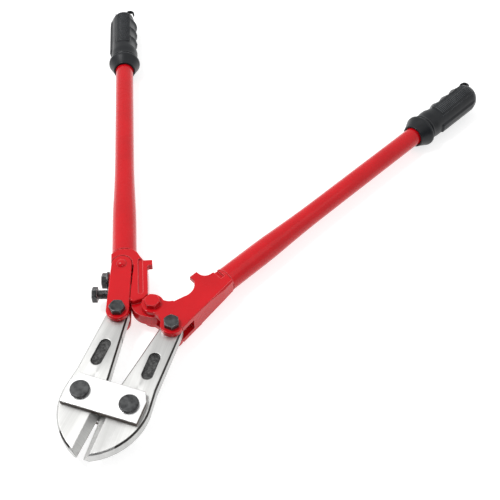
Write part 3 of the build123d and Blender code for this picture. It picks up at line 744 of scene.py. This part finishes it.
def make_grip(name, side, beside, end):
    place = handle_matrix(side, beside)
    start = end - GRIP_LENGTH
    bm = bmesh.new()
    fingers = math.pi if side > 0 else 0.0
    profile = [(BORE_DEPTH, None), (1.2, None), (0.5, 10.5), (0.0, 11.2)]

    def ring(station, radius):
        made = []
        for i in range(ROUND):
            angle = 2 * math.pi * i / ROUND
            local = (angle - fingers + math.pi) % (2 * math.pi) - math.pi
            r = (grip_radius(station, local) if radius is None else radius) * MM
            spot = Vector((r * math.cos(angle), (start + station) * MM, r * math.sin(angle)))
            made.append(bm.verts.new(place @ spot))
        return made

    rings = [ring(s, BORE if r is None else r) for s, r in profile]
    rings += [ring(s, None) for s in grip_stations()]
    for a, b in zip(rings, rings[1:]):
        for i in range(ROUND):
            j = (i + 1) % ROUND
            bm.faces.new((a[i], b[i], b[j], a[j]))
    bm.faces.new(rings[0])
    bm.faces.new(list(reversed(rings[-1])))
    bmesh.ops.recalc_face_normals(bm, faces=bm.faces)
    return mesh_object(name, bm, GRIP_RUBBER)


# word, side, the tube's line beside the pivot and the grip's end, both in mm
SIDES = (("left", -1, -26.5, 456.5), ("right", 1, 20.7, 464.0))
for word, side, beside, end in SIDES:
    grip = make_grip("grip_skin_" + word, side, beside, end)
    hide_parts("grip_" + word)
    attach(grip, "handle_" + word)
    print(grip.name, len(grip.data.polygons), "faces")

# %% [markdown]
# ### Ribs and pips on the grips
#
# The panel above and below carries a ladder of fine ribs, bordered by a row
# of pips.  Both repeat at an even pitch, which is what Geometry Nodes are
# for: a line of points, one shape on every point, then plain mesh again.  The
# two trees are built here with named sizes and used for all four panels.

# %% Helpers for Geometry Nodes
def new_tree(name, inputs):
    tree = bpy.data.node_groups.new(name, "GeometryNodeTree")
    for label, kind, value in inputs:
        socket = tree.interface.new_socket(name=label, in_out="INPUT", socket_type=kind)
        if value is not None:
            socket.default_value = value
    tree.interface.new_socket(name="Geometry", in_out="OUTPUT", socket_type="NodeSocketGeometry")
    return tree, tree.nodes.new("NodeGroupInput"), tree.nodes.new("NodeGroupOutput")


def finish_tree(tree, given, result, geometry):
    real = tree.nodes.new("GeometryNodeRealizeInstances")
    paint = tree.nodes.new("GeometryNodeSetMaterial")
    tree.links.new(geometry, real.inputs[0])
    tree.links.new(real.outputs[0], paint.inputs["Geometry"])
    tree.links.new(given.outputs["Material"], paint.inputs["Material"])
    tree.links.new(paint.outputs[0], result.inputs[0])


def row_of_points(tree, given):
    line = node_of(tree, "GeometryNodeMeshLine", mode="OFFSET")
    step = tree.nodes.new("ShaderNodeCombineXYZ")
    tree.links.new(given.outputs["Count"], line.inputs["Count"])
    tree.links.new(given.outputs["Pitch"], step.inputs["Y"])
    tree.links.new(step.outputs[0], line.inputs["Offset"])
    return line.outputs[0]


def plain_mesh(name, tree, values, place, material):
    """Run a tree once and keep its result as an ordinary mesh in its final place."""
    source = bpy.data.objects.new(name + "_source", bpy.data.meshes.new(name + "_source"))
    bpy.context.scene.collection.objects.link(source)
    modifier = source.modifiers.new("nodes", "NODES")
    modifier.node_group = tree
    known = {item.name: item.identifier for item in tree.interface.items_tree if item.in_out == "INPUT"}
    for label, value in {**values, "Material": material}.items():
        modifier[known[label]] = value
    bpy.context.view_layer.update()
    shape = source.evaluated_get(bpy.context.evaluated_depsgraph_get())
    mesh = bpy.data.meshes.new_from_object(shape)
    source.modifiers.remove(modifier)
    bpy.data.objects.remove(source)
    mesh.transform(place)
    for polygon in mesh.polygons:
        polygon.use_smooth = True
    made = bpy.data.objects.new(name, mesh)
    bpy.context.scene.collection.objects.link(made)
    return made


# %% A ladder of curved ribs
def build_rib_tree():
    tree, given, result = new_tree("rib_ladder", [
        ("Count", "NodeSocketInt", 10), ("Pitch", "NodeSocketFloat", 0.0018),
        ("Radius", "NodeSocketFloat", 0.015), ("Sweep", "NodeSocketFloat", 1.0),
        ("Rib", "NodeSocketFloat", 0.0004), ("Material", "NodeSocketMaterial", None),
    ])
    arc = node_of(tree, "GeometryNodeCurveArc")
    arc.inputs["Resolution"].default_value = 13
    start = maths(tree, "SUBTRACT", math.pi / 2, maths(tree, "DIVIDE", given.outputs["Sweep"], 2.0))
    tree.links.new(given.outputs["Radius"], arc.inputs["Radius"])
    tree.links.new(start, arc.inputs["Start Angle"])
    tree.links.new(given.outputs["Sweep"], arc.inputs["Sweep Angle"])
    section = tree.nodes.new("GeometryNodeCurvePrimitiveCircle")
    section.inputs["Resolution"].default_value = 6
    tree.links.new(given.outputs["Rib"], section.inputs["Radius"])
    body = tree.nodes.new("GeometryNodeCurveToMesh")
    body.inputs["Fill Caps"].default_value = True
    tree.links.new(arc.outputs[0], body.inputs["Curve"])
    tree.links.new(section.outputs[0], body.inputs["Profile Curve"])
    upright = tree.nodes.new("GeometryNodeTransform")
    upright.inputs["Rotation"].default_value = (math.pi / 2, 0, 0)
    tree.links.new(body.outputs[0], upright.inputs["Geometry"])
    spread = tree.nodes.new("GeometryNodeInstanceOnPoints")
    tree.links.new(row_of_points(tree, given), spread.inputs["Points"])
    tree.links.new(upright.outputs[0], spread.inputs["Instance"])
    finish_tree(tree, given, result, spread.outputs[0])
    return tree


# %% A row of pips
def build_pip_tree():
    tree, given, result = new_tree("pip_row", [
        ("Count", "NodeSocketInt", 10), ("Pitch", "NodeSocketFloat", 0.002),
        ("Size", "NodeSocketFloat", 0.0005), ("Material", "NodeSocketMaterial", None),
    ])
    ball = tree.nodes.new("GeometryNodeMeshIcoSphere")
    ball.inputs["Subdivisions"].default_value = 2
    tree.links.new(given.outputs["Size"], ball.inputs["Radius"])
    spread = tree.nodes.new("GeometryNodeInstanceOnPoints")
    tree.links.new(row_of_points(tree, given), spread.inputs["Points"])
    tree.links.new(ball.outputs[0], spread.inputs["Instance"])
    finish_tree(tree, given, result, spread.outputs[0])
    return tree


RIBS, PIPS = build_rib_tree(), build_pip_tree()

# %% Place the ribs and pips
RIB_PITCH, RIB_SIZE, RIB_SWEEP = 2.4, 0.66, math.radians(54)
PIP_PITCH, PIP_SIZE, PIP_ANGLE = 2.4, 0.62, math.radians(38)
RIB_MARGIN = 2.5              # bare at each end of the panel
PANEL_RADIUS = GRIP_BODY + 0.50
PIP_RADIUS = GRIP_BODY + 0.05


def joined(name, parts):
    bm = bmesh.new()
    for part in parts:
        bm.from_mesh(part.data)
        bpy.data.objects.remove(part)
    bmesh.ops.recalc_face_normals(bm, faces=bm.faces)
    return mesh_object(name, bm, RUBBED_SHEEN_RUBBER)


for word, side, beside, end in SIDES:
    parts = []
    for over in (0, math.pi):
        face = handle_matrix(side, beside) @ Matrix.Rotation(over, 4, "Y")
        first = end - GRIP_LENGTH + PANEL_FROM + RIB_MARGIN
        count = int((PANEL_TO - PANEL_FROM - 2 * RIB_MARGIN) / RIB_PITCH) + 1
        ladder = {
            "Count": count, "Pitch": RIB_PITCH * MM, "Radius": PANEL_RADIUS * MM,
            "Sweep": RIB_SWEEP, "Rib": RIB_SIZE * MM,
        }
        place = face @ Matrix.Translation((0, first * MM, 0))
        parts.append(plain_mesh("ribs", RIBS, ladder, place, RUBBED_SHEEN_RUBBER))
        back = -side if over else side
        x = back * math.sin(PIP_ANGLE) * PIP_RADIUS * MM
        z = math.cos(PIP_ANGLE) * PIP_RADIUS * MM
        pips = int((PANEL_TO - PANEL_FROM) / PIP_PITCH)
        row = {"Count": pips, "Pitch": PIP_PITCH * MM, "Size": PIP_SIZE * MM}
        place = face @ Matrix.Translation((x, (first - 1.5) * MM, z))
        parts.append(plain_mesh("pips", PIPS, row, place, RUBBED_SHEEN_RUBBER))
    texture = joined("grip_texture_" + word, parts)
    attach(texture, "handle_" + word)
    print(texture.name, len(texture.data.polygons), "faces")

# %% [markdown]
# ### Hanging tab at the end of each grip
#
# A small moulded lug stands on the end cap, near the fingers, with a slit
# through it.  It is a rounded bar bent into a low bridge, so the slit is a
# real opening.

# %% End tabs
TAB_BESIDE, TAB_ABOVE, TAB_SUNK = 7.4, 6.2, 4.0
TAB_HALF_SPAN, TAB_REACH = 4.4, 6.6
TAB_THICK, TAB_TALL = 1.0, 2.4      # half sizes of the bar


def make_tab(name, side, beside, end):
    place = handle_matrix(side, beside)
    bm = bmesh.new()
    rows, steps, thick = [], 15, 8
    for i in range(steps):
        t = math.pi * i / (steps - 1)
        x = -side * TAB_BESIDE + TAB_HALF_SPAN * math.cos(t)
        y = end - TAB_SUNK + TAB_REACH * math.sin(t) ** 0.7
        out = Vector((math.cos(t), 0.8 * math.sin(t), 0)).normalized()
        row = []
        for j in range(thick):
            a = 2 * math.pi * j / thick
            spot = Vector((x, y, TAB_ABOVE)) + out * TAB_THICK * math.cos(a)
            spot += Vector((0, 0, TAB_TALL)) * math.sin(a)
            row.append(bm.verts.new(place @ (spot * MM)))
        rows.append(row)
    for a, b in zip(rows, rows[1:]):
        for j in range(thick):
            k = (j + 1) % thick
            bm.faces.new((a[j], b[j], b[k], a[k]))
    bm.faces.new(rows[0])
    bm.faces.new(list(reversed(rows[-1])))
    bmesh.ops.recalc_face_normals(bm, faces=bm.faces)
    return mesh_object(name, bm, GRIP_RUBBER)


for word, side, beside, end in SIDES:
    tab = make_tab("grip_tab_" + word, side, beside, end)
    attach(tab, "handle_" + word)

# %% [markdown]
# ## Thread on the lower adjuster
#
# The lower set screw stands proud of its block, and its bare shank shows the
# thread.  A helix swept with a four-sided section is a thread: Geometry
# Nodes' spiral gives the helix, and the pitch is simply its height over its
# turns.

# %% Thread tree
def build_thread_tree():
    tree, given, result = new_tree("thread", [
        ("Radius", "NodeSocketFloat", 0.004), ("Length", "NodeSocketFloat", 0.01),
        ("Turns", "NodeSocketFloat", 8.0), ("Crest", "NodeSocketFloat", 0.0004),
        ("Material", "NodeSocketMaterial", None),
    ])
    helix = tree.nodes.new("GeometryNodeCurveSpiral")
    helix.inputs["Resolution"].default_value = 40
    tree.links.new(given.outputs["Turns"], helix.inputs["Rotations"])
    tree.links.new(given.outputs["Radius"], helix.inputs["Start Radius"])
    tree.links.new(given.outputs["Radius"], helix.inputs["End Radius"])
    tree.links.new(given.outputs["Length"], helix.inputs["Height"])
    section = tree.nodes.new("GeometryNodeCurvePrimitiveCircle")
    section.inputs["Resolution"].default_value = 4
    tree.links.new(given.outputs["Crest"], section.inputs["Radius"])
    body = tree.nodes.new("GeometryNodeCurveToMesh")
    body.inputs["Fill Caps"].default_value = True
    tree.links.new(helix.outputs[0], body.inputs["Curve"])
    tree.links.new(section.outputs[0], body.inputs["Profile Curve"])
    finish_tree(tree, given, result, body.outputs[0])
    return tree


# %% Place the thread
SCREW_Y, BLOCK_FACE, BARE_SHANK = 25.2, -9.2, 12.0
THREAD_RADIUS, THREAD_PITCH, THREAD_CREST = 4.0, 1.25, 0.42
thread_length = BARE_SHANK - 1.2
out_of_block = Matrix.Translation((TAIL_LEFT.x, TAIL_LEFT.y, MID)) @ Matrix.Rotation(LINK_TURN, 4, "Z")
out_of_block = out_of_block @ Matrix.Translation(((BLOCK_FACE - 0.6) * MM, SCREW_Y * MM, 0))
out_of_block = out_of_block @ Matrix.Rotation(-math.pi / 2, 4, "Y")
turns = thread_length / THREAD_PITCH
thread_sizes = {
    "Radius": THREAD_RADIUS * MM, "Length": thread_length * MM, "Turns": turns, "Crest": THREAD_CREST * MM,
}
thread = plain_mesh("adjuster_thread", build_thread_tree(), thread_sizes, out_of_block, BOLT_BLACK)
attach(thread, "adjuster_lower")
print("thread", round(turns, 1), "turns")
